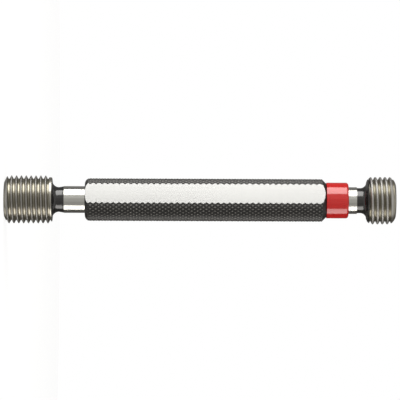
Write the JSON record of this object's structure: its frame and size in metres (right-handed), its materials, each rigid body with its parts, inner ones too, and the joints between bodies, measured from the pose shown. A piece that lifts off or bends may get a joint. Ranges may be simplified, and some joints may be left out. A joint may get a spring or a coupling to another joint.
{
  "type": "thread plug gauge",
  "caption": "Double-ended thread plug gauge: a long GO screw and a short NO-GO screw marked by a red ring, on a knurled round handle with ground flats.",
  "frame": {"origin": "centre of the flat face of the GO screw, the end that the gauge stands on", "axes": "+Z along the gauge's axis from the GO end to the NO-GO end; the handle's two ground flats face -Y and +Y"},
  "size_m": [0.0132, 0.0132, 0.1073],
  "materials": {
    "gauge_steel": "ground and lapped tool steel, with blackened necks",
    "handle_steel": "blackened diamond knurl with two bright ground flats",
    "red_ring": "glossy red"
  },
  "bodies": {
    "root": {"go_member": "gauge_steel", "handle": "handle_steel", "nogo_ring": "red_ring", "nogo_member": "gauge_steel"}
  },
  "joints": []
}
